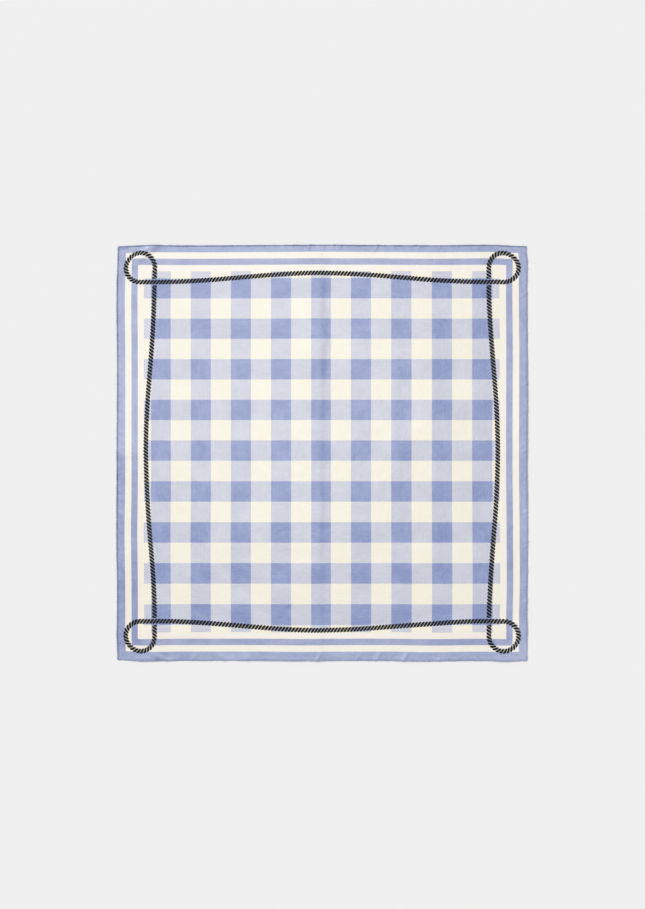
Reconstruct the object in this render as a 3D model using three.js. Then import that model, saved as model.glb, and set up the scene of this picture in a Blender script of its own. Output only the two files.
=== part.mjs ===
// A square printed scarf in silk twill, laid out flat and face up in a single layer.
// The creases of its old folds cross it as soft ridges, and a rolled hem runs round all four edges.
// Sizes are in millimetres. X runs across the scarf, Y up it and Z off the surface it lies on.
import * as THREE from 'three';

// Driving sizes
const WIDTH = 700;
const LENGTH = 709;
const CLOTH = 1.0;
const LINE_SPACING = 25;

// The rolled hem's section. from_edge: how far in; under, over: heights of its lower and upper face.
const HEM = [
  { from_edge: 0.0, under: 0.7, over: 1.5 },
  { from_edge: 0.5, under: 0.0, over: 2.0 },
  { from_edge: 1.3, under: 0.0, over: 2.2 },
  { from_edge: 2.1, under: 0.0, over: 1.8 },
  { from_edge: 2.7, under: 0.0, over: CLOTH },
];

// Crease sections. before, after: how far each slope reaches; steep: how much of its fall is at the crest.
// The strong crease runs up the scarf. The cloth rises slowly on its left and drops on its right.
const LONG_CREASE = { before: 130, before_steep: 1, after: 24, after_steep: 2.6 };
const LONG_CREASE_ROWS = [
  { at: -355, crest: -4.5, height: 1.4 },
  { at: -270, crest: -5.0, height: 1.0 },
  { at: -150, crest: -5.6, height: 1.4 },
  { at: -75, crest: -4.0, height: 0.9 },
  { at: -35, crest: -5.4, height: 1.0 },
  { at: 60, crest: -4.6, height: 1.2 },
  { at: 170, crest: -4.2, height: 1.4 },
  { at: 300, crest: -4.6, height: 1.4 },
  { at: 335, crest: -4.6, height: 0.8 },
];

// The faint crease runs across it. Its upper slope is long and its lower slope short.
const CROSS_CREASE = { before: 16, before_steep: 1, after: 40, after_steep: 1 };
const CROSS_CREASE_ROWS = [
  { at: -350, crest: 1.5, height: 0.7 },
  { at: -270, crest: 3.0, height: 0.3 },
  { at: -60, crest: 4.0, height: 0.2 },
  { at: 60, crest: 4.0, height: 0.2 },
  { at: 200, crest: 0.0, height: 0.3 },
  { at: 350, crest: 1.0, height: 0.5 },
];

// Where each edge lies inside the full size. at: a place along the edge; inset: how far in.
const EDGES = {
  left: [
    { at: -350, inset: 1.6 },
    { at: -308, inset: 0.7 },
    { at: -236, inset: 1.4 },
    { at: -134, inset: 0.0 },
    { at: -22, inset: 0.4 },
    { at: 162, inset: 1.1 },
    { at: 264, inset: 0.2 },
    { at: 345, inset: 2.0 },
  ],
  right: [
    { at: -350, inset: 0.6 },
    { at: -288, inset: 1.0 },
    { at: -190, inset: 0.0 },
    { at: -104, inset: 0.0 },
    { at: 0, inset: 0.6 },
    { at: 180, inset: 0.0 },
    { at: 285, inset: 0.7 },
    { at: 325, inset: 0.0 },
    { at: 345, inset: 1.8 },
  ],
  bottom: [
    { at: -345, inset: 2.0 },
    { at: -303, inset: 0.2 },
    { at: -240, inset: 1.2 },
    { at: -110, inset: 1.2 },
    { at: -37, inset: 0.7 },
    { at: 105, inset: 1.2 },
    { at: 187, inset: 0.0 },
    { at: 268, inset: 1.0 },
    { at: 310, inset: 0.0 },
    { at: 348, inset: 0.9 },
  ],
  top: [
    { at: -345, inset: 2.4 },
    { at: -303, inset: 0.8 },
    { at: -200, inset: 1.0 },
    { at: -99, inset: 0.5 },
    { at: 3, inset: 0.0 },
    { at: 85, inset: 0.3 },
    { at: 187, inset: 0.9 },
    { at: 289, inset: 0.3 },
    { at: 345, inset: 2.2 },
  ],
};

// Places where the hem doesn't lie down. span: length along the edge; reach: how far in it fades.
const HEM_LIFTS = [
  { edge: 'bottom', at: -308, span: 76, height: 1.2, reach: 20 },
  { edge: 'bottom', at: -70, span: 150, height: 0.9, reach: 22 },
  { edge: 'bottom', at: 150, span: 110, height: 1.2, reach: 22 },
  { edge: 'bottom', at: 318, span: 72, height: 1.4, reach: 24 },
  { edge: 'top', at: -275, span: 60, height: 0.9, reach: 30 },
  { edge: 'top', at: -60, span: 200, height: 0.5, reach: 24 },
  { edge: 'top', at: 30, span: 70, height: 0.8, reach: 28 },
  { edge: 'top', at: 168, span: 90, height: 0.9, reach: 30 },
  { edge: 'top', at: 270, span: 120, height: 1.2, reach: 42 },
  { edge: 'left', at: 230, span: 170, height: 0.6, reach: 40 },
  { edge: 'left', at: -190, span: 300, height: 0.9, reach: 40 },
  { edge: 'right', at: 60, span: 330, height: 1.3, reach: 44 },
  { edge: 'right', at: -110, span: 260, height: 0.8, reach: 26 },
  { edge: 'right', at: -300, span: 80, height: 1.2, reach: 36 },
];

const { clamp, lerp, smoothstep } = THREE.MathUtils;

// A column of a table at any place along it, easing from each row to the next.
function along(rows, column, at) {
  const next = rows.findIndex((row) => row.at > at);
  if (next === 0) {
    return rows[0][column];
  }
  if (next < 0) {
    return rows.at(-1)[column];
  }
  const [low, high] = [rows[next - 1], rows[next]];
  return lerp(low[column], high[column], smoothstep(at, low.at, high.at));
}

// Height of a crease at a distance past its crest: rounded at the crest, and level where it meets the cloth.
function ridge(past, crease, height) {
  const [reach, steep] = past < 0 ? [crease.before, crease.before_steep] : [crease.after, crease.after_steep];
  return height * (1 - smoothstep(Math.abs(past), 0, reach)) ** steep;
}

// How far the cloth's underside stands off the surface at a place on the scarf.
function lift(x, y) {
  const long_crest = along(LONG_CREASE_ROWS, 'crest', y);
  const cross_crest = along(CROSS_CREASE_ROWS, 'crest', x);
  const long_ridge = ridge(x - long_crest, LONG_CREASE, along(LONG_CREASE_ROWS, 'height', y));
  const cross_ridge = ridge(y - cross_crest, CROSS_CREASE, along(CROSS_CREASE_ROWS, 'height', x));
  const to_edge = { left: WIDTH / 2 + x, right: WIDTH / 2 - x, bottom: LENGTH / 2 + y, top: LENGTH / 2 - y };
  let hem_lift = 0;
  for (const { edge, at, span, height, reach } of HEM_LIFTS) {
    const off = Math.abs((edge === 'left' || edge === 'right' ? y : x) - at);
    const along_edge = 1 - smoothstep(off, 0, span / 2);
    const inwards = (1 - clamp(to_edge[edge] / reach, 0, 1)) ** 1.5;
    hem_lift = Math.max(hem_lift, height * along_edge * inwards);
  }
  return Math.hypot(long_ridge, cross_ridge, hem_lift);
}

// A flat place on the cloth, moved in where the edges are drawn in. The move fades towards the middle.
function place(x, y) {
  const across = x < 0 ? along(EDGES.left, 'inset', y) : along(EDGES.right, 'inset', y);
  const up = y < 0 ? along(EDGES.bottom, 'inset', x) : along(EDGES.top, 'inset', x);
  const x_share = (2 * x) / WIDTH;
  const y_share = (2 * y) / LENGTH;
  return [x - across * x_share ** 3, y - up * y_share ** 3];
}

// Evenly spaced mesh lines from one place to another, without the last.
function spaced(from, to) {
  const count = Math.round((to - from) / LINE_SPACING);
  return Array.from({ length: count }, (_, i) => lerp(from, to, i / count));
}

// Mesh lines across one side of the scarf: close in the hem and over the crease, even between them.
function mesh_lines(size, crease, rows) {
  const steps = HEM.map(({ from_edge }) => from_edge);
  const inner = size / 2 - steps.at(-1);
  const crest = rows.reduce((sum, { crest }) => sum + crest, 0) / rows.length;
  const over_crease = [-1, -0.75, -0.5, -0.25, 0, 0.2, 0.4, 0.65, 1].map(
    (share) => crest + share * (share < 0 ? crease.before : crease.after),
  );
  const in_hem = steps.slice(0, -1);
  return [
    ...in_hem.map((step) => step - size / 2),
    ...spaced(-inner, over_crease[0]),
    ...over_crease.slice(0, -1),
    ...spaced(over_crease.at(-1), inner),
    inner,
    ...in_hem.toReversed().map((step) => size / 2 - step),
  ];
}

// The section of the hem at a distance from the nearest edge, or plain cloth further in.
function section(from_edge) {
  const row = HEM.find((step) => Math.abs(step.from_edge - from_edge) < 0.01);
  return row ?? HEM.at(-1);
}

function scarf_geometry() {
  const columns = mesh_lines(WIDTH, LONG_CREASE, LONG_CREASE_ROWS);
  const rows = mesh_lines(LENGTH, CROSS_CREASE, CROSS_CREASE_ROWS);
  const layer = columns.length * rows.length;
  const upper = [];
  const lower = [];
  for (const v of rows) {
    for (const u of columns) {
      const [x, y] = place(u, v);
      const from_edge = Math.min(WIDTH / 2 - Math.abs(u), LENGTH / 2 - Math.abs(v));
      const { under, over } = section(from_edge);
      const off_surface = lift(u, v);
      upper.push(x, y, off_surface + over);
      lower.push(x, y, off_surface + under);
    }
  }

  const faces = [];
  const at = (column, row) => row * columns.length + column;
  for (let j = 0; j + 1 < rows.length; j += 1) {
    for (let i = 0; i + 1 < columns.length; i += 1) {
      const [a, b, c, d] = [at(i, j), at(i + 1, j), at(i + 1, j + 1), at(i, j + 1)];
      // Each cell is split along the line from the middle of the scarf to the corner, as the hem is mitred.
      const split = columns[i] * rows[j] > 0 ? [[a, b, c], [a, c, d]] : [[a, b, d], [b, c, d]];
      for (const [p, q, r] of split) {
        faces.push(p, q, r);
        faces.push(layer + p, layer + r, layer + q);
      }
    }
  }

  const right = columns.length - 1;
  const top = rows.length - 1;
  const rim = [];
  for (let i = 0; i < right; i += 1) {
    rim.push([at(i, 0), at(i + 1, 0)], [at(i + 1, top), at(i, top)]);
  }
  for (let j = 0; j < top; j += 1) {
    rim.push([at(right, j), at(right, j + 1)], [at(0, j + 1), at(0, j)]);
  }
  for (const [p, q] of rim) {
    faces.push(layer + p, layer + q, q);
    faces.push(layer + p, q, p);
  }

  const geometry = new THREE.BufferGeometry();
  geometry.setAttribute('position', new THREE.Float32BufferAttribute([...upper, ...lower], 3));
  geometry.setIndex(faces);
  geometry.computeBoundingBox();
  const { min, max } = geometry.boundingBox;
  geometry.translate(-(min.x + max.x) / 2, -(min.y + max.y) / 2, -min.z);
  geometry.computeVertexNormals();
  return geometry;
}

// The printed twill: blue and cream, seen from afar as one pale blue with a soft sheen.
const printed_twill = new THREE.MeshStandardMaterial({ color: '#cbd0e2', roughness: 0.55, metalness: 0 });

const scarf = new THREE.Mesh(scarf_geometry(), printed_twill);
scarf.name = 'scarf';

const part = new THREE.Group();
part.add(scarf);

export default part;
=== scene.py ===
"""A printed silk scarf, opened out of its folds and laid flat, seen from straight above.

The cloth is one thin sheet. Its edges are rolled into a narrow hem, and its old folds stand up as
soft ridges. Lengths are in metres, except in the tables and in what the materials read, which is
in millimetres.
"""
import math
import random

import bpy
import numpy as np
from bpy.props import FloatProperty, FloatVectorProperty, IntProperty, PointerProperty
from bpy.types import Operator, Panel, PropertyGroup
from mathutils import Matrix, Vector, noise
from mathutils.geometry import delaunay_2d_cdt


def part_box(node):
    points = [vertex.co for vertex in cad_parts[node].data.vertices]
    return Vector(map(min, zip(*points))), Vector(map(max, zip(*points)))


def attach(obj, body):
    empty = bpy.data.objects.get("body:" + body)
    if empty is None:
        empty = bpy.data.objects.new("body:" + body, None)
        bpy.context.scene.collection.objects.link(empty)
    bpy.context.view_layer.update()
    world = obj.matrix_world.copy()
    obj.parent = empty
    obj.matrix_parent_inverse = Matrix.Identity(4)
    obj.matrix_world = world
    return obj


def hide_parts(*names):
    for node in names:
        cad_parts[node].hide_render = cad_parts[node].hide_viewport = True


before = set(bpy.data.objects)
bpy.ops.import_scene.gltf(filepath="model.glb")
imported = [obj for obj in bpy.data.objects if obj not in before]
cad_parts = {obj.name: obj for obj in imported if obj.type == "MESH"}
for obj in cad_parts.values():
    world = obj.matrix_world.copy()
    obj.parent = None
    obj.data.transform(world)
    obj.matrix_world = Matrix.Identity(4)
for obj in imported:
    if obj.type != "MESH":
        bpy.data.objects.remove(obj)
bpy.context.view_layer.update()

bl_info = {
    "name": "Printed silk scarf",
    "version": (1, 0, 0),
    "blender": (4, 5, 0),
    "location": "3D View > Sidebar > Scarf",
    "description": "Lays out a printed silk scarf with its rolled and stitched hem",
    "category": "Add Mesh",
}

MM = 0.001
CLOTH_LOW, CLOTH_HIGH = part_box("scarf")
# The render's frame in pixels, and what one of them covers on the cloth.
FRAME_PX = (645, 909)
PIXEL = 1.7015 * MM
# How far the noise goes up and down from 0, apart from rare peaks.
NOISE_REACH = 0.6


def linear(hex_colour):
    """An sRGB hex value as linear red, green and blue."""
    channels = [int(hex_colour[i : i + 2], 16) / 255 for i in (0, 2, 4)]
    return [c / 12.92 if c <= 0.04045 else ((c + 0.055) / 1.055) ** 2.4 for c in channels]


def table(columns, *rows):
    """A table with named columns. Its rows are in millimetres, and its columns in metres."""
    return dict(zip(columns.split(), np.array(rows, float).T * MM))


# The two fold creases. at: a place along the crease; crest: where its top runs; height: how far it
# stands up; before, after: widths of its two slopes. Where a slope is steep, its fall is at the crest.
# The strong crease runs up the scarf. The cloth rises slowly on its left and drops on its right.
LONG_CREASE = table(
    "at crest height before after",
    (-355, -4.5, 1.15, 130, 20),
    (-270, -5.0, 1.0, 130, 22),
    (-150, -5.6, 1.4, 130, 22),
    (-75, -4.0, 0.8, 130, 18),
    (-35, -5.4, 0.85, 130, 22),
    (60, -4.6, 1.15, 130, 25),
    (170, -4.2, 1.55, 130, 26),
    (300, -4.6, 1.4, 130, 26),
    (335, -4.6, 0.55, 130, 22),
)
LONG_CREASE_STEEP = {"before": 1, "after": 2.6}
# The faint crease runs across it. Its upper slope is long and its lower slope short.
CROSS_CREASE = table(
    "at crest height before after",
    (-350, 1.5, 0.7, 16, 60),
    (-270, 3.0, 0.2, 16, 40),
    (-60, 4.0, 0.12, 16, 30),
    (60, 4.0, 0.15, 16, 30),
    (200, 0.0, 0.3, 18, 30),
    (350, 1.0, 0.5, 18, 50),
)
CROSS_CREASE_STEEP = {"before": 1, "after": 1}

# Where each edge lies inside the full size. at: a place along the edge; inset: how far in.
EDGES = {
    "left": table(
        "at inset",
        (-350, 1.6),
        (-308, 0.7),
        (-236, 1.4),
        (-134, 0.0),
        (-22, 0.4),
        (162, 1.1),
        (264, 0.2),
        (345, 2.0),
    ),
    "right": table(
        "at inset",
        (-350, 0.6),
        (-288, 1.0),
        (-190, 0.0),
        (-104, 0.0),
        (0, 0.6),
        (180, 0.0),
        (285, 0.7),
        (325, 0.0),
        (345, 1.8),
    ),
    "bottom": table(
        "at inset",
        (-345, 2.0),
        (-303, 0.2),
        (-240, 1.2),
        (-110, 1.2),
        (-37, 0.7),
        (105, 1.2),
        (187, 0.0),
        (268, 1.0),
        (310, 0.0),
        (348, 0.9),
    ),
    "top": table(
        "at inset",
        (-345, 2.4),
        (-303, 0.8),
        (-200, 1.0),
        (-99, 0.5),
        (3, 0.0),
        (85, 0.3),
        (187, 0.9),
        (289, 0.3),
        (345, 2.2),
    ),
}

# Places where the hem doesn't lie down. span: length along the edge; reach: how far in it fades.
HEM_LIFTS = {
    "bottom": table(
        "at span height reach",
        (-308, 76, 1.2, 20),
        (-70, 150, 0.9, 22),
        (150, 110, 1.2, 22),
        (318, 72, 1.4, 24),
    ),
    "top": table(
        "at span height reach",
        (-275, 60, 0.9, 30),
        (-60, 200, 0.5, 24),
        (30, 70, 0.8, 28),
        (168, 90, 0.9, 30),
        (270, 120, 1.2, 42),
    ),
    "left": table(
        "at span height reach",
        (230, 170, 0.6, 40),
        (-190, 300, 0.9, 40),
    ),
    "right": table(
        "at span height reach",
        (60, 330, 1.3, 44),
        (-110, 260, 0.8, 26),
        (-300, 80, 1.2, 36),
    ),
}

# Small puckers that the hem draws into the cloth. Each starts at the edge and fades out inwards.
# s, t: where it starts; to_s, to_t: where it ends; width: across it; height: how far it stands up.
PUCKERS = table(
    "s t to_s to_t width height",
    (-276, 354, -291, 341, 8, 0.7),
    (-279, 361, -369, 283.5, 28, 2.3),
    (-262, 354, -269, 342, 7, 0.4),
    (-349, 349, -322, 354, 5, 0.8),
    (-75, 354, -82, 343, 6, 0.5),
    (-20, 354, -28, 341, 7, 0.65),
    (3, 354, 1, 340, 5, 0.55),
    (20, 354, 14, 343, 5, 0.55),
    (32, 354, 26, 343, 5, 0.5),
    (94, 354, 87, 341, 6, 0.7),
    (167, 354, 160, 342, 8, 0.4),
    (262, 354, 270, 342, 8, 0.3),
    (-264, -354, -301, -338, 14, 0.95),
    (-221, -354, -212, -336, 11, 0.5),
    (-168, -354, -181, -336, 14, 0.7),
    (-126, -354, -137, -337, 12, 0.65),
    (-10, -354, 0, -338, 9, 0.7),
    (59, -354, 70, -336, 12, 0.55),
    (91, -354, 103, -334, 12, 0.95),
    (137, -354, 148, -336, 11, 0.9),
    (199, -354, 201, -343, 8, 0.5),
    (264, -354, 258, -339, 11, 0.5),
    (-350, 225, -335, 234, 10, 0.5),
    (-350, 196, -338, 189, 8, 0.3),
    (-350, -36, -334, -29, 8, 0.65),
    (-350, -214, -338, -220, 8, 0.4),
    (-350, -324, -339, -316, 7, 0.55),
    (-352, -355, -331, -332, 12, 0.7),
    (350, 274, 334, 264, 9, 0.7),
    (350, 120, 340, 114, 8, 0.3),
    (350, 7, 336, -1, 8, 0.5),
    (350, -38, 341, -43, 5, 0.4),
    (350, -50, 341, -54, 5, 0.3),
    (350, -98, 338, -104, 7, 0.5),
    (350, -157, 336, -164, 8, 0.4),
    (350, -252, 334, -259, 9, 0.55),
)

# Faint old folds further in, which fade out at both ends.
FAINT_FOLDS = table(
    "s t to_s to_t width height",
    (126, 320, 128, -270, 24, 0.2),
    (190, 320, 192, -240, 24, 0.22),
    (-160, 330, -156, -60, 24, 0.2),
    (-80, -10, -76, -230, 24, 0.2),
    (-40, 60, -44, -300, 26, 0.2),
    (380, -299, 60, -304, 46, 0.9),
    (-380, -306, -60, -306, 44, 0.8),
)

# Stretches of the border painted darker, or lighter where the share is below 0: painted shade and painted
# sheen, matched to how light the border looks. They stand for the shade of folds and the loss of gloss that
# the relief here doesn't give.
# s, t: the middle; reach_s, reach_t: from the middle to the ends, in millimetres.
SHADE_AND_SHEEN_STRETCHES = (
    # s, t, reach_s, reach_t, share
    (-334, -172, 31, 190, 0.12),
    (-334, -250, 31, 94, 0.07),
    (-334, 85, 31, 104, -0.07),
    (236, -324, 77, 12, 0.08),
    (255, 338, 51, 26, 0.09),
    (150, 350, 47, 10, 0.07),
    (338, -10, 26, 110, -0.03),
    (322, -160, 9, 43, 0.10),
    (130, -338, 77, 24, -0.05),
    (324, -340, 34, 24, -0.10),
    (-80, -346, 94, 12, -0.03),
    (-274, -347, 13, 9, 0.16),
    (-278, 348, 14, 9, 0.12),
    (-340, 351, 10, 4, 0.25),
    (322, -25, 9, 45, -0.06),
    (115, -324, 30, 9, -0.05),
    (-174, -324, 18, 9, -0.06),
)

# How far the print is spread outwards on each side of the cloth. at: a place up the cloth.
PRINT_SPREAD = table(
    "at left right",
    (-350, 0.2, 0.4),
    (-300, 0.6, 0.9),
    (-230, 1.3, 1.5),
    (-140, 1.1, 0.9),
    (-50, 0.4, 0.4),
    (75, 0.7, 0.4),
    (170, 1.1, 0.4),
    (350, 0.6, 0.2),
)

# How far the print has shifted off its even spacing: to the right at places across, and up at
# places up the cloth. The fold crease takes up a little of it.
PRINT_ACROSS = table(
    "at shift",
    (-335, 0.1),
    (-302, -0.5),
    (-255, -1.2),
    (-18, -1.4),
    (15, -2.2),
    (120, -2.0),
    (187, -1.2),
    (255, -0.8),
    (300, -0.2),
    (335, 0.0),
)
PRINT_UP = table(
    "at shift",
    (-338, -0.5),
    (-300, 0.0),
    (-258, 1.1),
    (-189, 1.8),
    (-20, 2.5),
    (190, 1.9),
    (262, 1.35),
    (300, 1.0),
    (340, 0.7),
)


class ClothSettings(PropertyGroup):
    width: FloatProperty(
        name="Width",
        description="Size of the finished scarf across, hem to hem",
        default=round(CLOTH_HIGH.x - CLOTH_LOW.x, 4),
        unit="LENGTH",
    )
    length: FloatProperty(
        name="Length",
        description="Size of the finished scarf up the picture, hem to hem",
        default=round(CLOTH_HIGH.y - CLOTH_LOW.y, 4),
        unit="LENGTH",
    )
    thickness: FloatProperty(
        name="Thickness",
        description="Thickness of the sheet, a little more than the real silk's so that it shows",
        default=0.3 * MM,
        unit="LENGTH",
    )
    roll_width: FloatProperty(
        name="Roll width",
        description="Width of the rolled hem",
        default=2.1 * MM,
        unit="LENGTH",
    )
    roll_height: FloatProperty(
        name="Roll height",
        description="Height of the rolled hem",
        default=1.6 * MM,
        unit="LENGTH",
    )
    fine_cell: FloatProperty(
        name="Fine cell",
        description="Mesh spacing beside the hem, from where it opens out towards the middle",
        default=1.4 * MM,
        unit="LENGTH",
    )
    crease_cell: FloatProperty(
        name="Crease cell",
        description="Mesh spacing across the creases",
        default=2.4 * MM,
        unit="LENGTH",
    )
    coarse_cell: FloatProperty(
        name="Coarse cell",
        description="Mesh spacing over plain cloth",
        default=4.6 * MM,
        unit="LENGTH",
    )
    slack: FloatProperty(
        name="Slack",
        description="Height of the soft swells where the cloth doesn't quite lie down",
        default=0.9 * MM,
        unit="LENGTH",
    )
    ripple: FloatProperty(
        name="Ripple",
        description="Height of the slight unevenness all over the cloth",
        default=0.17 * MM,
        unit="LENGTH",
    )
    gather: FloatProperty(
        name="Gather",
        description="Height of the unevenness that the sewing of the hem draws into the border",
        default=0.28 * MM,
        unit="LENGTH",
    )
    stitch_spacing: FloatProperty(
        name="Stitch spacing",
        description="Distance from one hem stitch to the next",
        default=5.0 * MM,
        unit="LENGTH",
    )
    thread: FloatProperty(
        name="Sewing thread",
        description="Thickness of the thread that holds the hem",
        default=0.26 * MM,
        unit="LENGTH",
    )


class PrintSettings(PropertyGroup):
    ground: FloatVectorProperty(
        name="Ground",
        description="The undyed cream of the silk",
        default=linear("F6F1E0"),
        subtype="COLOR",
    )
    half_tone: FloatVectorProperty(
        name="Half tone",
        description="Pale blue where one band of the check crosses the ground",
        default=linear("CCCEDB"),
        subtype="COLOR",
    )
    full_tone: FloatVectorProperty(
        name="Full tone",
        description="Blue where two bands of the check cross",
        default=linear("8C99C6"),
        subtype="COLOR",
    )
    border: FloatVectorProperty(
        name="Border",
        description="Blue of the outer band and the stripe",
        default=linear("A1AACC"),
        subtype="COLOR",
    )
    stripe_ground: FloatVectorProperty(
        name="Stripe ground",
        description="Cream between the stripes, a little whiter than under the check",
        default=linear("F7F1E6"),
        subtype="COLOR",
    )
    ink: FloatVectorProperty(
        name="Rope",
        description="Black ink of the printed rope",
        default=linear("070606"),
        subtype="COLOR",
    )
    check_across: FloatProperty(
        name="Check across",
        description="Width of one check",
        default=34.12 * MM,
        unit="LENGTH",
    )
    check_up: FloatProperty(
        name="Check up",
        description="Height of one check",
        default=34.70 * MM,
        unit="LENGTH",
    )
    bands: IntProperty(
        name="Bands",
        description="Blue bands of the check, each way",
        default=9,
    )
    field_margin: FloatProperty(
        name="Field margin",
        description="From the last blue band to the end of the checked field",
        default=12.1 * MM,
        unit="LENGTH",
    )
    stripe: FloatProperty(
        name="Stripe",
        description="Width of each stripe round the checked field",
        default=10.93 * MM,
        unit="LENGTH",
    )
    off_centre: FloatProperty(
        name="Off centre",
        description="How far the print sits above the middle of the cloth",
        default=1.8 * MM,
        unit="LENGTH",
    )


class RopeSettings(PropertyGroup):
    width: FloatProperty(
        name="Width",
        description="Thickness of the printed rope",
        default=8.9 * MM,
        unit="LENGTH",
    )
    lay: FloatProperty(
        name="Lay",
        description="Distance along the rope from one strand to the next",
        default=5.6 * MM,
        unit="LENGTH",
    )
    crossing: FloatProperty(
        name="Crossing",
        description="How far in from the edges the rope crosses itself at a corner",
        default=66 * MM,
        unit="LENGTH",
    )
    loop: FloatProperty(
        name="Loop",
        description="Radius of the round loop at each corner",
        default=25 * MM,
        unit="LENGTH",
    )
    bow: FloatProperty(
        name="Bow",
        description="How far each side of the rope curves out between its corners",
        default=15 * MM,
        unit="LENGTH",
    )


class StageSettings(PropertyGroup):
    floor: FloatVectorProperty(
        name="Floor",
        description="Colour of the matt surface that the scarf lies on",
        default=linear("F4F4F4"),
        subtype="COLOR",
    )
    camera_height: FloatProperty(
        name="Camera height",
        description="Height of the camera above the floor",
        default=1.3,
        unit="LENGTH",
    )
    key: FloatProperty(
        name="Key light",
        description="Strength of the light that comes in from the upper left",
        default=1.32,
    )
    overhead: FloatProperty(
        name="Overhead light",
        description="Strength of the large soft light above the scarf",
        default=0.98,
    )
    fill: FloatProperty(
        name="Fill light",
        description="Strength of the even light from all round",
        default=0.395,
    )


def ease(share):
    """0 to 1 with a soft start and end."""
    share = np.clip(share, 0, 1)
    return share * share * (3 - 2 * share)


def along(rows, column, at):
    """A column of a table at any places along it, easing from each row to the next."""
    stops, values = rows["at"], rows[column]
    low = np.clip(np.searchsorted(stops, at, side="right") - 1, 0, len(stops) - 2)
    share = ease((at - stops[low]) / (stops[low + 1] - stops[low]))
    return values[low] + (values[low + 1] - values[low]) * share


def ridge(crease, steep, at, across):
    """Height of a fold crease at a place along it and across it."""
    past = across - along(crease, "crest", at)
    slope = np.where(past < 0, along(crease, "before", at), along(crease, "after", at))
    fall = np.where(past < 0, steep["before"], steep["after"])
    return along(crease, "height", at) * (1 - ease(np.abs(past) / slope)) ** fall


def lifts(rows, at, from_edge):
    """Height of the lifted stretches of one edge, at a place along it and inwards from it."""
    steep = 1.5
    height = np.zeros_like(at)
    for place, span, top, reach in zip(*(rows[c] for c in "at span height reach".split())):
        along_edge = 1 - ease(2 * np.abs(at - place) / span)
        inwards = (1 - np.clip(from_edge / reach, 0, 1)) ** steep
        height = np.maximum(height, top * along_edge * inwards)
    return height


def lines(rows, s, t, fade_in):
    """Height of low straight folds, which fade out at both ends, or only at the last one."""
    fade_from = 0.3
    height = np.zeros_like(s)
    for row in zip(*(rows[c] for c in "s t to_s to_t width height".split())):
        start, end, width, top = np.array(row[:2]), np.array(row[2:4]), *row[4:]
        run = end - start
        length = math.hypot(*run)
        past = ((s - start[0]) * run[0] + (t - start[1]) * run[1]) / length**2
        off = np.abs((s - start[0]) * run[1] - (t - start[1]) * run[0]) / length
        share = (1 - ease(2 * off / width)) * (1 - ease((past - fade_from) / (1 - fade_from)))
        if fade_in:
            share *= ease(past / fade_from)
        height = np.maximum(height, top * share)
    return height


def uneven(s, t, scale, layer):
    """Smooth noise at flat places, up and down from 0. scale: the size of its bumps."""
    found = [noise.noise(Vector((x / scale, y / scale, 2.5 * layer))) for x, y in zip(s.flat, t.flat)]
    return np.array(found).reshape(s.shape)


def raised(s, t, scale, layer):
    """The same noise, moved up so that it is never below 0."""
    return np.maximum(NOISE_REACH + uneven(s, t, scale, layer), 0)


def relief(cloth, s, t):
    """How far the underside of the cloth stands off the floor at flat places s across and t up."""
    swell_size, ripple_size, gather_size, gather_reach = 90 * MM, 12 * MM, 9 * MM, 22 * MM
    large = [
        ridge(LONG_CREASE, LONG_CREASE_STEEP, t, s),
        ridge(CROSS_CREASE, CROSS_CREASE_STEEP, s, t),
        cloth.slack * np.maximum(uneven(s, t, swell_size, 1), 0) ** 1.5,
    ]
    for edge, at, from_edge in (
        ("left", t, cloth.width / 2 + s),
        ("right", t, cloth.width / 2 - s),
        ("bottom", s, cloth.length / 2 + t),
        ("top", s, cloth.length / 2 - t),
    ):
        large.append(lifts(HEM_LIFTS[edge], at, from_edge))
    small = lines(PUCKERS, s, t, False) + lines(FAINT_FOLDS, s, t, True)
    small += cloth.ripple * raised(s, t, ripple_size, 2)
    drawn_in = 1 - ease(from_hem(cloth, s, t) / gather_reach)
    small += cloth.gather * drawn_in * raised(s, t, gather_size, 8)
    # Large forms merge where they meet, and small ones lie on top of them.
    return np.sqrt(sum(h**2 for h in large)) + small


def laid_out(cloth, s, t):
    """Flat places s and t, drawn in where the edges of the scarf are uneven."""
    across = np.where(s < 0, along(EDGES["left"], "inset", t), along(EDGES["right"], "inset", t))
    up = np.where(t < 0, along(EDGES["bottom"], "inset", s), along(EDGES["top"], "inset", s))
    x = s - across * (2 * s / cloth.width) ** 3
    y = t - up * (2 * t / cloth.length) ** 3
    return x, y


def from_hem(cloth, s, t):
    """Distance of flat places from the nearest edge of the scarf."""
    return np.minimum(cloth.width / 2 - np.abs(s), cloth.length / 2 - np.abs(t))


def shade_and_sheen_depth(s, t):
    """How much painted shade darkens the colour at flat places, and where the share is below 0, how much
    painted sheen lightens it: 1 on most of the cloth. A stretch fades out over the last quarter of its
    reach."""
    depth = np.ones_like(s)
    for *place, share in SHADE_AND_SHEEN_STRETCHES:
        middle_s, middle_t, reach_s, reach_t = np.array(place) * MM
        off_s, off_t = np.abs(s - middle_s) / reach_s, np.abs(t - middle_t) / reach_t
        depth += share * (1 - ease(4 * off_s - 3)) * (1 - ease(4 * off_t - 3))
    return depth


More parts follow.
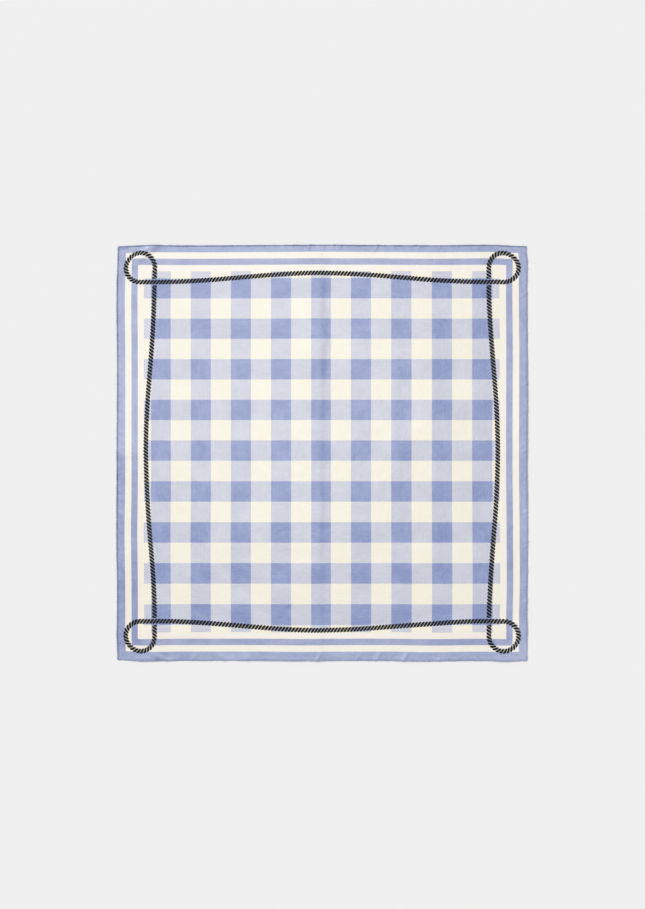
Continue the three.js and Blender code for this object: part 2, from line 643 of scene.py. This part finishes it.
def mark_print(mesh, cloth, design, s, t):
    """Tells each vertex where it is on the print and how far from the edge, in millimetres, and how much
    painted shade and painted sheen the border's stretches give there."""
    side = np.where(s < 0, along(PRINT_SPREAD, "left", t), along(PRINT_SPREAD, "right", t))
    across = np.interp(s, PRINT_ACROSS["at"], PRINT_ACROSS["shift"])
    up = np.interp(t, PRINT_UP["at"], PRINT_UP["shift"])
    print_s = s - side * 2 * s / cloth.width - across
    print_t = t - design.off_centre - up
    printed = np.stack([print_s, print_t, from_hem(cloth, s, t)], -1) / MM
    place = mesh.attributes.new("print_place", "FLOAT_VECTOR", "POINT")
    place.data.foreach_set("vector", printed.astype(np.float32).ravel())
    # Painted shade and painted sheen of the border's stretches, as a depth of the colour.
    depth = mesh.attributes.new("shade_and_sheen_depth", "FLOAT", "POINT")
    depth.data.foreach_set("value", shade_and_sheen_depth(s, t).astype(np.float32).ravel())


def sheet_triangles(cloth):
    """Flat places of the sheet's vertices and the triangles between them: rings of close cells
    along the edges, which open out inwards, then an even grid that is close over the creases."""
    size = np.array((cloth.width, cloth.length))
    inset, cell = cloth.roll_width / 2, cloth.fine_cell
    # Each ring's cells are a little wider than the last ring's, and longer than they are wide.
    widening, longer, widest = 1.09, 1.1, 0.9 * cloth.coarse_cell
    places = []
    while cell < widest:
        half = size / 2 - inset
        counts = [round(2 * h / (longer * cell)) for h in half]
        lines_s, lines_t = (np.linspace(-h, h, n, endpoint=False) for h, n in zip(half, counts))
        places += [(s, -half[1]) for s in lines_s] + [(half[0], t) for t in lines_t]
        places += [(-s, half[1]) for s in lines_s] + [(-half[0], -t) for t in lines_t]
        inset += cell
        cell *= widening
    grid = []
    close_before, close_after = 16 * MM, 24 * MM
    for half, crease in zip(size / 2 - inset, (LONG_CREASE, CROSS_CREASE)):
        low = crease["crest"].min() - close_before
        high = crease["crest"].max() + close_after
        ends = (-half, low, high, half)
        steps = (cloth.coarse_cell, cloth.crease_cell, cloth.coarse_cell)
        stops = [
            np.linspace(a, b, round((b - a) / step), endpoint=False)
            for a, b, step in zip(ends, ends[1:], steps)
        ]
        grid.append(np.append(np.concatenate(stops), half))
    places += [(s, t) for t in grid[1] for s in grid[0]]
    found = delaunay_2d_cdt([Vector(place) / MM for place in places], [], [], 0, 0.001)
    return np.array([tuple(place) for place in found[0]]) * MM, np.array(found[2])


def cloth_mesh(cloth, design):
    """The sheet with both its faces, as one closed mesh. Its rim is inside the rolled hem."""
    flat, triangles = sheet_triangles(cloth)
    s, t = flat.T
    x, y = laid_out(cloth, s, t)
    under = relief(cloth, s, t)

    # The two faces share the rim's vertices, which lie between them.
    tolerance = 0.01 * MM
    rim = from_hem(cloth, s, t) < cloth.roll_width / 2 + tolerance
    upper = np.stack([x, y, under + np.where(rim, cloth.thickness / 2, cloth.thickness)], -1)
    lower = np.stack([x, y, under], -1)[~rim]
    lower_index = np.arange(len(s))
    lower_index[~rim] = len(s) + np.arange(len(lower))
    faces = np.concatenate([triangles, lower_index[triangles][:, ::-1]])
    mesh = bpy.data.meshes.new("scarf_cloth")
    mesh.from_pydata(np.concatenate([upper, lower]).tolist(), [], faces.tolist())
    mesh.validate()
    mesh.shade_smooth()
    s, t = np.append(s, s[~rim]), np.append(t, t[~rim])
    mark_print(mesh, cloth, design, s, t)

    # Both faces share one flat map with a bare margin, since the dye goes right through.
    margin = 1 * MM
    reach = max(cloth.width, cloth.length) / 2 + margin
    flat = np.stack([s, t], -1) / (2 * reach) + 0.5
    corners = np.empty(len(mesh.loops), np.int32)
    mesh.loops.foreach_get("vertex_index", corners)
    layer = mesh.uv_layers.new(name="OFBake")
    layer.data.foreach_set("uv", flat[corners].astype(np.float32).ravel())
    return mesh


def add(tree, kind, *inputs, named=None, **settings):
    """Adds a shader node. Its inputs, in order or by name, are values, sockets or other nodes."""
    node = tree.nodes.new(f"ShaderNode{kind}")
    for name, value in settings.items():
        setattr(node, name, value)
    shown = [socket for socket in node.inputs if socket.enabled]
    fed = [*zip(shown, inputs), *((node.inputs[k], v) for k, v in (named or {}).items())]
    for socket, value in fed:
        if isinstance(value, bpy.types.Node):
            value = next(output for output in value.outputs if output.enabled)
        if isinstance(value, bpy.types.NodeSocket):
            tree.links.new(value, socket)
        else:
            socket.default_value = value
    return node


def gingham(tree, design, s, t, from_frame):
    """The print under the rope: stripes round a field of checks. Returns its colour."""
    # How far the dye runs over each edge.
    bleed = 0.25
    tones = []
    for place, check in ((s, design.check_across), (t, design.check_up)):
        # Distance from the middle of the nearest blue band, which is half a check at its edge.
        off = add(tree, "Math", place, check / MM, operation="PINGPONG")
        edge = check / MM / 2
        tones.append(add(tree, "MapRange", off, edge + bleed, edge - bleed, 0.0, 0.5))
    tone = add(tree, "Math", *tones, operation="ADD")
    field = add(tree, "ValToRGB", tone)
    field.color_ramp.elements[0].color = (*design.ground, 1)
    field.color_ramp.elements[1].color = (*design.full_tone, 1)
    field.color_ramp.elements.new(0.5).color = (*design.half_tone, 1)

    # The stripes, counted inwards from the blue outer band.
    stripe = design.stripe / MM
    shown = 5 * stripe
    share = add(tree, "MapRange", from_frame, -stripe, shown - stripe, 0.0, 1.0)
    stripes = add(tree, "ValToRGB", share)
    ramp = stripes.color_ramp
    ramp.elements[0].color = (*design.border, 1)
    ramp.elements[1].color = (*design.stripe_ground, 1)
    colours = (design.border, design.stripe_ground, design.border, design.stripe_ground)
    for number, (before, after) in enumerate(zip(colours, colours[1:]), 1):
        for colour, offset in ((before, -bleed), (after, bleed)):
            ramp.elements.new((number * stripe + offset) / shown).color = (*colour, 1)
    inside = add(tree, "MapRange", from_frame, 3 * stripe - bleed, 3 * stripe + bleed, 0.0, 1.0)
    return add(tree, "Mix", inside, stripes, field, data_type="RGBA")


def rope_ink(tree, cloth, rope, s, t):
    """How much ink the printed rope lays down at a place: a looped square with a ring at each corner."""
    cross_s = (cloth.width / 2 - rope.crossing) / MM
    cross_t = (cloth.length / 2 - rope.crossing) / MM
    loop, bow, lay, half = rope.loop / MM, rope.bow / MM, rope.lay / MM, rope.width / MM / 2
    ring_s, ring_t = cross_s + loop, cross_t + loop
    sides = [add(tree, "Math", place, operation="SIGN") for place in (s, t)]
    folded = [add(tree, "Math", place, operation="ABSOLUTE") for place in (s, t)]

    # Each straight run, as its distance outwards from the rope's middle and its strands so far.
    runs = []
    for place, fold, other, side, cross, reach, ring in (
        (s, folded[0], folded[1], sides[1], cross_t, cross_s, ring_s),
        (t, folded[1], folded[0], sides[0], cross_s, cross_t, ring_t),
    ):
        share = add(tree, "Math", fold, reach, operation="DIVIDE")
        share = add(tree, "Math", share, 1.0, operation="MINIMUM")
        turn = add(tree, "Math", share, math.pi, operation="MULTIPLY")
        wave = add(tree, "Math", turn, operation="COSINE")
        middle = add(tree, "Math", wave, bow / 2, cross + bow / 2, operation="MULTIPLY_ADD")
        across = add(tree, "Math", other, middle, operation="SUBTRACT")
        strands = 2 * round(ring / lay)
        way = 1 if place is s else -1
        signed = add(tree, "Math", place, side, operation="MULTIPLY")
        turns = add(tree, "Math", signed, way * strands / (2 * ring), operation="MULTIPLY")
        runs.append((across, add(tree, "CombineXYZ", across, turns)))

    # The ring round each corner, with its distance inwards and its strands round the circle.
    centres = [
        add(tree, "Math", side, centre, operation="MULTIPLY")
        for side, centre in zip(sides, (ring_s, ring_t))
    ]
    legs = [
        add(tree, "Math", place, centre, operation="SUBTRACT")
        for place, centre in zip((s, t), centres)
    ]
    radius = add(tree, "VectorMath", add(tree, "CombineXYZ", *legs), operation="LENGTH")
    inwards = add(tree, "Math", loop, radius, operation="SUBTRACT")
    angle = add(tree, "Math", legs[1], legs[0], operation="ARCTAN2")
    strands = 4 * round(math.tau * loop / lay / 4)
    turns = add(tree, "Math", angle, strands / math.tau, operation="MULTIPLY")
    ring = add(tree, "CombineXYZ", inwards, turns)

    # One run passes over the other with a little ground left bare at its sides.
    bare = 0.9
    off = add(tree, "Math", runs[0][0], operation="ABSOLUTE")
    over = add(tree, "Math", off, half + bare, operation="LESS_THAN")
    run = add(tree, "Mix", over, runs[1][1], runs[0][1], data_type="VECTOR")
    past = [
        add(tree, "Math", fold, ring, operation="GREATER_THAN")
        for fold, ring in zip(folded, (ring_s, ring_t))
    ]
    outside = add(tree, "Math", *past, operation="MAXIMUM")
    path = add(tree, "SeparateXYZ", add(tree, "Mix", outside, run, ring, data_type="VECTOR"))

    # Slanted strands with rounded ends, and a thin slit of ground between each and the next. The
    # slit opens at a share of the way from the strand's middle, and a little ink is left in it.
    slant, rounded, bleed = 0.62, 1.8, 0.25
    slit_from, slit_to, ink_left = 0.38, 0.46, 0.2
    strand = add(tree, "Math", path.outputs[0], -slant / lay, path.outputs[1], operation="MULTIPLY_ADD")
    strand = add(tree, "Math", strand, operation="FRACT")
    off_strand = add(tree, "Math", strand, 0.5, operation="SUBTRACT")
    off_strand = add(tree, "Math", off_strand, operation="ABSOLUTE")
    slit = add(tree, "MapRange", off_strand, slit_from, slit_to, 1.0, ink_left)
    rounding = add(tree, "Math", off_strand, 2.0, operation="POWER")
    edge = add(tree, "Math", rounding, -rounded * half, half, operation="MULTIPLY_ADD")
    off = add(tree, "Math", path.outputs[0], operation="ABSOLUTE")
    proud = add(tree, "Math", off, edge, operation="SUBTRACT")
    body = add(tree, "MapRange", proud, -bleed, bleed, 1.0, 0.0)
    return add(tree, "Math", body, slit, operation="MULTIPLY")


def from_frame_edge(tree, design, s, t):
    """Distance inwards from the outer edge of the striped frame, where the outer band ends."""
    insets = []
    for axis, check in ((s, design.check_across), (t, design.check_up)):
        half = (design.bands - 0.5) * check + design.field_margin + 3 * design.stripe
        off = add(tree, "Math", axis, operation="ABSOLUTE")
        insets.append(add(tree, "Math", half / MM, off, operation="SUBTRACT"))
    return add(tree, "Math", *insets, operation="MINIMUM")


def thread_streaks(tree, place):
    """Streaks along both ways of the weave, because threads take the dye a little unevenly. Real
    threads are 0.2 mm apart, which is too fine to show, so the streaks are drawn 1.4 mm wide."""
    streak, run = 1.4, 40.0
    streaks = []
    for scale in ((1 / streak, 1 / run, 1), (1 / run, 1 / streak, 1)):
        stretched = add(tree, "VectorMath", place, scale, operation="MULTIPLY")
        streaks.append(add(tree, "TexNoise", stretched, 1.0, 1.0, 0.5))
    return add(tree, "Math", *streaks, operation="ADD")


def dyed_and_shaded(tree, place, threads, colour):
    """The colour where the dye is deeper or paler, in blotches and in broad patches, with painted shade and
    painted sheen in stretches of the border. It shows most in the blue."""
    blotch, patch, patch_share = 9, 45, 1.6
    deepest, palest = 1.15, 0.85
    blotches = add(tree, "TexNoise", place, 1 / blotch, 2.0, 0.6)
    patches = add(tree, "TexNoise", place, 1 / patch, 2.0, 0.5)
    mottle = add(tree, "Math", threads, blotches, operation="ADD")
    mottle = add(tree, "Math", patches, patch_share, mottle, operation="MULTIPLY_ADD")
    # The two streaks, the blotches and the patches each lie round a half.
    middle = 1.5 + patch_share / 2
    depth = add(tree, "MapRange", mottle, middle - 0.5, middle + 0.5, deepest, palest)
    # Painted shade in stretches of the border, and painted sheen where the depth is below 1.
    stretches = add(tree, "Attribute", attribute_name="shade_and_sheen_depth").outputs["Fac"]
    depth = add(tree, "Math", depth, stretches, operation="MULTIPLY")
    return add(tree, "Gamma", colour, depth)


def shaded_by_layers(tree, from_edge, colour):
    """The rolled hem is several layers thick, so less light comes back through it from the floor."""
    at_rim, past_roll, darkest = 0.2, 1.9, 0.58
    layers = add(tree, "MapRange", from_edge, at_rim, past_roll, darkest, 1.0)
    layers = add(tree, "CombineXYZ", layers, layers, layers)
    return add(tree, "VectorMath", colour, layers, operation="MULTIPLY")


def twill_surface(tree, place, threads):
    """The relief of the weave. Its diagonal ribs are 0.4 mm apart on the cloth and drawn 1.2 mm
    apart, and it doesn't lie quite flat between threads that are drawn tighter or looser."""
    rib, rib_height = 1.2, 0.12
    cockle, cockle_height = 6, 4.0
    diagonal = add(tree, "VectorMath", place, (1, 1, 0), operation="DOT_PRODUCT")
    ribs = add(tree, "Math", diagonal, math.tau / (math.sqrt(2) * rib), operation="MULTIPLY")
    ribs = add(tree, "Math", ribs, operation="SINE")
    surface = add(tree, "Math", ribs, rib_height, threads, operation="MULTIPLY_ADD")
    cockles = add(tree, "TexNoise", place, 1 / cockle, 1.0, 0.5)
    return add(tree, "Math", cockles, cockle_height, surface, operation="MULTIPLY_ADD")


def printed_silk(cloth, design, rope):
    """Silk twill, screen printed. The fine diagonal weave gives it a soft, even sheen."""
    material = bpy.data.materials.new("printed_silk_twill")
    material.use_nodes = True
    tree = material.node_tree
    shader = tree.nodes["Principled BSDF"]
    place = add(tree, "Attribute", attribute_name="print_place").outputs["Vector"]
    s, t, from_edge = add(tree, "SeparateXYZ", place).outputs
    threads = thread_streaks(tree, place)

    colour = gingham(tree, design, s, t, from_frame_edge(tree, design, s, t))
    ink = rope_ink(tree, cloth, rope, s, t)
    colour = add(tree, "Mix", ink, colour, (*design.ink, 1), data_type="RGBA")
    colour = dyed_and_shaded(tree, place, threads, colour)
    colour = shaded_by_layers(tree, from_edge, colour)
    tree.links.new(colour.outputs[0], shader.inputs["Base Color"])

    bump = add(tree, "Bump", 0.35, 0.12 * MM, named={"Height": twill_surface(tree, place, threads)})
    tree.links.new(bump.outputs[0], shader.inputs["Normal"])
    # The black is a thick matt paste, and the dyed silk round it keeps its gloss.
    silk, paste = 0.36, 0.95
    gloss = add(tree, "MapRange", ink, 0.0, 1.0, silk, paste)
    tree.links.new(gloss.outputs[0], shader.inputs["Roughness"])
    shader.inputs["IOR"].default_value = 1.54
    return material


def silk_thread(design):
    """Sewing silk, twisted and dyed to match the outer band. It gives a fine dotted line."""
    material = bpy.data.materials.new("sewing_silk")
    material.use_nodes = True
    tree = material.node_tree
    shader = tree.nodes["Principled BSDF"]
    place = add(tree, "TexCoord").outputs["Object"]
    # The twist of the thread, one turn in 0.5 mm. The colour is the band's blue under painted shade,
    # darkest in the grooves between its strands.
    turn = 0.5 * MM
    twist = add(tree, "TexNoise", place, 1 / turn, 1.0, 0.5)
    shade = add(tree, "MapRange", twist, 0.3, 0.7, 0.55, 0.8)
    shade = add(tree, "CombineXYZ", shade, shade, shade)
    colour = add(tree, "VectorMath", tuple(design.border), shade, operation="MULTIPLY")
    tree.links.new(colour.outputs[0], shader.inputs["Base Color"])
    bump = add(tree, "Bump", 0.4, 0.05 * MM, named={"Height": twist})
    tree.links.new(bump.outputs[0], shader.inputs["Normal"])
    shader.inputs["Roughness"].default_value = 0.5
    shader.inputs["IOR"].default_value = 1.54
    return material


def stitches(cloth):
    """Where the hem is sewn: flat places at the edge, the way along it and the way inwards."""
    draw = random.Random(11)
    margin, wander = 6 * MM, 0.7
    half_s, half_t = cloth.width / 2, cloth.length / 2
    found = []
    for corner, way, inwards, length in (
        ((-half_s, -half_t), (1, 0), (0, 1), cloth.width),
        ((half_s, -half_t), (0, 1), (-1, 0), cloth.length),
        ((half_s, half_t), (-1, 0), (0, -1), cloth.width),
        ((-half_s, half_t), (0, -1), (1, 0), cloth.length),
    ):
        for past in np.arange(margin, length - margin, cloth.stitch_spacing):
            past += draw.uniform(-wander, wander) * MM
            found.append((np.array(corner) + past * np.array(way), way, inwards))
    return [np.array(column) for column in zip(*found)]


def hem_path(cloth):
    """Flat places along the middle of the hem's roll, with the way outwards at each."""
    spacing, corner = 1.25 * MM, 1.9 * MM
    reach = np.array((cloth.width, cloth.length)) / 2 - cloth.roll_width / 2 - corner
    corners = np.array(((1, -1), (1, 1), (-1, 1), (-1, -1))) * reach
    places, outwards = [], []
    for number, centre in enumerate(corners):
        turns = np.radians(np.linspace(-90, 0, 6) + 90 * number)
        out = np.stack([np.cos(turns), np.sin(turns)], -1)
        start, end = centre + corner * out[-1], corners[(number + 1) % 4] + corner * out[-1]
        run = np.linspace(start, end, round(math.dist(start, end) / spacing), endpoint=False)[1:]
        places += [centre + corner * out, run]
        outwards += [out, np.repeat(out[-1:], len(run), 0)]
    return np.concatenate(places), np.concatenate(outwards)


def hem_mesh(cloth, design):
    """The rolled hem: a tube round all four edges, tighter at each stitch and uneven between them."""
    path, outwards = hem_path(cloth)
    sides = 12
    sewn = stitches(cloth)[0]
    to_stitch = np.linalg.norm(path[:, None] - sewn, axis=-1).min(1) - cloth.roll_width / 2
    # Each stitch draws the roll in over 0.7 mm to either side. It flattens it more than it narrows it.
    pinch_reach = 0.7 * MM
    pinch = np.exp(-((np.maximum(to_stitch, 0) / pinch_reach) ** 2))
    tight = 1 + 0.22 * uneven(*path.T, 7 * MM, 3) + 0.16 * uneven(*path.T, 2.6 * MM, 4)
    half = cloth.roll_width / 2 * (tight - 0.12 * pinch)
    high = cloth.roll_height * (tight + 0.5 * uneven(*path.T, 13 * MM, 5) - 0.4 * pinch)
    # The roll's middle wanders in and out a little.
    wander = 0.2 * MM * uneven(*path.T, 17 * MM, 6) + 0.14 * MM * uneven(*path.T, 5 * MM, 7)
    turns = np.arange(sides) * math.tau / sides
    out = wander[:, None] + half[:, None] * np.cos(turns)
    s, t = (path[:, None, i] + outwards[:, None, i] * out for i in (0, 1))
    x, y = laid_out(cloth, s, t)
    z = relief(cloth, s, t) + high[:, None] * (1 + np.sin(turns)) / 2
    count = len(path)
    index = np.arange(count * sides).reshape(count, sides)
    ahead, round_it = np.roll(index, -1, 0), np.roll(index, -1, 1)
    faces = np.stack([index, ahead, np.roll(ahead, -1, 1), round_it], -1)
    mesh = bpy.data.meshes.new("rolled_hem")
    mesh.from_pydata(np.stack([x, y, z], -1).reshape(-1, 3).tolist(), [], faces.reshape(-1, 4).tolist())
    mesh.validate()
    mesh.shade_smooth()
    mark_print(mesh, cloth, design, s.ravel(), t.ravel())
    return mesh


def stitch_mesh(cloth):
    """Slip stitches all round: each is a short thread from the cloth over the inner side of the roll."""
    draw = random.Random(12)
    sides, steps = 5, 5
    radius = cloth.thread / 2
    # The stitch's own path. inwards: from the edge; height: over the underside of the cloth.
    path = table("inwards height", (2.9, 0.25), (2.5, 0.4), (2.1, 0.65), (1.7, 0.9), (1.3, 1.0))
    sewn, ways, inwards = stitches(cloth)
    # How far along the hem each stitch slants.
    lean = np.array([draw.uniform(0.8, 1.5) for _ in sewn]) * MM
    shares = np.linspace(-0.5, 0.5, steps)
    flat = sewn[:, None] + ways[:, None] * (lean[:, None] * shares)[..., None]
    flat = flat + inwards[:, None] * path["inwards"][:, None]
    s, t = flat[..., 0], flat[..., 1]
    x, y = laid_out(cloth, s, t)
    line = np.stack([x, y, path["height"] + relief(cloth, s, t)], -1)
    ahead = np.gradient(line, axis=1)
    ahead /= np.linalg.norm(ahead, axis=-1, keepdims=True)
    side = np.cross(ahead, (0, 0, 1.0))
    side /= np.linalg.norm(side, axis=-1, keepdims=True)
    up = np.cross(side, ahead)
    angles = np.arange(sides) * math.tau / sides
    ring = side[:, :, None] * np.cos(angles)[:, None] + up[:, :, None] * np.sin(angles)[:, None]
    places = (line[:, :, None] + radius * ring).reshape(-1, 3)
    faces = []
    for first in range(0, len(places), steps * sides):
        for low in range(first, first + (steps - 1) * sides, sides):
            for i in range(sides):
                j = (i + 1) % sides
                faces.append((low + i, low + j, low + sides + j, low + sides + i))
        faces.append(tuple(first + i for i in reversed(range(sides))))
        faces.append(tuple(first + (steps - 1) * sides + i for i in range(sides)))
    mesh = bpy.data.meshes.new("hem_stitches")
    mesh.from_pydata(places.tolist(), [], faces)
    mesh.validate()
    mesh.shade_smooth()
    return mesh


def show(mesh, material):
    """Puts a mesh with its material into the scene, where the modelled scarf is."""
    piece = bpy.data.objects.new(mesh.name, mesh)
    mesh.materials.append(material)
    bpy.context.scene.collection.objects.link(piece)
    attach(piece, "root")
    return piece


class SCARF_OT_lay_cloth(Operator):
    """Lay out the printed silk with its fold creases and puckers"""

    bl_idname = "scarf.lay_cloth"
    bl_label = "Lay out the cloth"

    def execute(self, context):
        cloth, design, rope = context.scene.scarf_cloth, context.scene.scarf_print, context.scene.scarf_rope
        if min(cloth.width, cloth.length) < 2 * (rope.crossing + rope.loop):
            raise RuntimeError("The scarf is too small for its rope loops")
        piece = show(cloth_mesh(cloth, design), printed_silk(cloth, design, rope))
        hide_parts("scarf")
        return {"FINISHED"}


class SCARF_OT_sew_hem(Operator):
    """Roll the edges into a hem and sew it down with slip stitches"""

    bl_idname = "scarf.sew_hem"
    bl_label = "Roll and sew the hem"

    def execute(self, context):
        cloth, design = context.scene.scarf_cloth, context.scene.scarf_print
        sheet = bpy.data.objects.get("scarf_cloth")
        if sheet is None:
            raise RuntimeError("Lay out the cloth before its hem is sewn")
        hem = show(hem_mesh(cloth, design), sheet.data.materials[0])
        thread = show(stitch_mesh(cloth), silk_thread(design))
        return {"FINISHED"}


def matt_board(colour):
    """Matt painted board. It scatters light evenly, with a trace of grain."""
    material = bpy.data.materials.new("matt_painted_board")
    material.use_nodes = True
    tree = material.node_tree
    shader = tree.nodes["Principled BSDF"]
    place = add(tree, "TexCoord").outputs["Object"]
    grain = add(tree, "TexNoise", place, 1 / (2 * MM), 2.0, 0.5)
    bump = add(tree, "Bump", 0.1, 0.02 * MM, named={"Height": grain})
    tree.links.new(bump.outputs[0], shader.inputs["Normal"])
    shader.inputs["Base Color"].default_value = (*colour, 1)
    shader.inputs["Roughness"].default_value = 0.9
    shader.inputs["Specular IOR Level"].default_value = 0.1
    return material


class SCARF_OT_set_stage(Operator):
    """Set the floor, the lights and the camera"""

    bl_idname = "scarf.set_stage"
    bl_label = "Set the stage"

    def execute(self, context):
        scene, stage = context.scene, context.scene.scarf_stage
        reach = 12.0
        mesh = bpy.data.meshes.new("floor")
        corners = [(x * reach, y * reach, 0) for x, y in ((-1, -1), (1, -1), (1, 1), (-1, 1))]
        mesh.from_pydata(corners, [], [(0, 1, 2, 3)])
        mesh.materials.append(matt_board(stage.floor))
        floor = bpy.data.objects.new("floor", mesh)
        scene.collection.objects.link(floor)

        # The key light gives the shadows, and the overhead light the sheen. tilt: from straight up;
        # turn: round from the scarf's right, both lights to its upper left.
        for name, strength, width, tilt, turn in (
            ("key_light", stage.key, 14, 52, 138),
            ("overhead_light", stage.overhead, 26, 9, 119),
        ):
            lamp = bpy.data.lights.new(name, "SUN")
            lamp.energy = strength
            lamp.angle = math.radians(width)
            light = bpy.data.objects.new(name, lamp)
            light.rotation_euler = (0, math.radians(tilt), math.radians(turn))
            scene.collection.objects.link(light)

        world = bpy.data.worlds.new("studio")
        world.use_nodes = True
        background = world.node_tree.nodes["Background"]
        background.inputs["Color"].default_value = (1, 1, 1, 1)
        background.inputs["Strength"].default_value = stage.fill
        scene.world = world
        scene.view_settings.view_transform = "Standard"

        # The camera looks straight down, and the scarf is a little above the middle of its view.
        aim = (0.4 * PIXEL, -1.4 * PIXEL)
        lens = bpy.data.cameras.new("camera")
        lens.sensor_width = 36.0
        lens.lens = lens.sensor_width * stage.camera_height / (FRAME_PX[1] * PIXEL)
        lens.clip_end = 50.0
        camera = bpy.data.objects.new("camera", lens)
        camera.location = (*aim, stage.camera_height)
        scene.collection.objects.link(camera)
        scene.camera = camera
        return {"FINISHED"}


class SCARF_PT_panel(Panel):
    """The scarf's steps, in the order in which they are made"""

    bl_idname = "SCARF_PT_panel"
    bl_label = "Printed silk scarf"
    bl_space_type = "VIEW_3D"
    bl_region_type = "UI"
    bl_category = "Scarf"

    def draw(self, context):
        for name, group in SETTINGS.items():
            box = self.layout.box()
            for setting in group.__annotations__:
                box.prop(getattr(context.scene, name), setting)
        for operator in OPERATORS:
            self.layout.operator(operator.bl_idname)


SETTINGS = {
    "scarf_cloth": ClothSettings,
    "scarf_print": PrintSettings,
    "scarf_rope": RopeSettings,
    "scarf_stage": StageSettings,
}
OPERATORS = (SCARF_OT_lay_cloth, SCARF_OT_sew_hem, SCARF_OT_set_stage)


def register():
    for kind in (*SETTINGS.values(), *OPERATORS, SCARF_PT_panel):
        bpy.utils.register_class(kind)
    for name, group in SETTINGS.items():
        setattr(bpy.types.Scene, name, PointerProperty(type=group))


def unregister():
    for name in SETTINGS:
        delattr(bpy.types.Scene, name)
    for kind in reversed((*SETTINGS.values(), *OPERATORS, SCARF_PT_panel)):
        bpy.utils.unregister_class(kind)


def main():
    register()
    bpy.ops.scarf.lay_cloth()
    bpy.ops.scarf.sew_hem()
    bpy.ops.scarf.set_stage()


if __name__ == "__main__":
    main()
